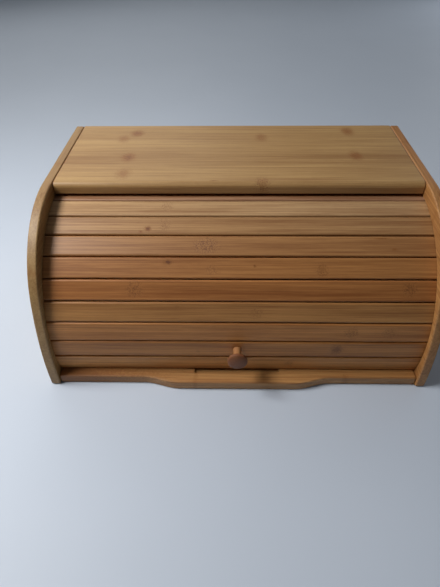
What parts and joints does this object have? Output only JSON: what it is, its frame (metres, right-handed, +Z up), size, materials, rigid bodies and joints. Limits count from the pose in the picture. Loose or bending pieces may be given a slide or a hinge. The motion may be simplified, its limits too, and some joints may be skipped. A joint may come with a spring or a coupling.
{
  "type": "roll-top bread bin",
  "caption": "Bamboo bread bin whose rolling slatted door turns up and back in round grooves between two curved side panels.",
  "frame": {"origin": "on the table, under the middle of the bounding box", "axes": "+Z up, the door and the knob face -Y, +X to the right as seen from the front"},
  "size_m": [0.4, 0.2741, 0.1735],
  "materials": {
    "panel_bamboo": "satin lacquered bamboo, edges rounded",
    "board_bamboo": "satin lacquered laminated bamboo strips",
    "slat_bamboo": "satin lacquered bamboo, caramel toned",
    "knob_wood": "satin lacquered turned wood",
    "dowel_wood": "bare wood",
    "backing_cloth": "plain woven canvas",
    "screw_steel": "zinc plated"
  },
  "bodies": {
    "case": {"left_panel": "panel_bamboo", "right_panel": "panel_bamboo", "top_board": "board_bamboo", "base_board": "board_bamboo", "back_board": "board_bamboo", "dowel_top_rear_left": "dowel_wood", "dowel_top_rear_right": "dowel_wood", "dowel_top_front_left": "dowel_wood", "dowel_top_front_right": "dowel_wood", "dowel_base_rear_left": "dowel_wood", "dowel_base_rear_right": "dowel_wood", "dowel_base_front_left": "dowel_wood", "dowel_base_front_right": "dowel_wood", "dowel_back_lower_left": "dowel_wood", "dowel_back_lower_right": "dowel_wood", "dowel_back_upper_left": "dowel_wood", "dowel_back_upper_right": "dowel_wood"},
    "door": {"bottom_slat": "slat_bamboo", "knob_slat": "slat_bamboo", "slat_3": "slat_bamboo", "slat_4": "slat_bamboo", "slat_5": "slat_bamboo", "slat_6": "slat_bamboo", "slat_7": "slat_bamboo", "slat_8": "slat_bamboo", "slat_9": "slat_bamboo", "lead_slat": "slat_bamboo", "cloth_backing": "backing_cloth", "pull_knob": "knob_wood", "knob_screw": "screw_steel"}
  },
  "joints": [
    {"name": "door_roll", "type": "hinge", "parent": "case", "child": "door", "pos_m": [0, 0.00433, 0.03666], "axis": [-1, 0, 0], "range_deg": [0, 75]}
  ]
}
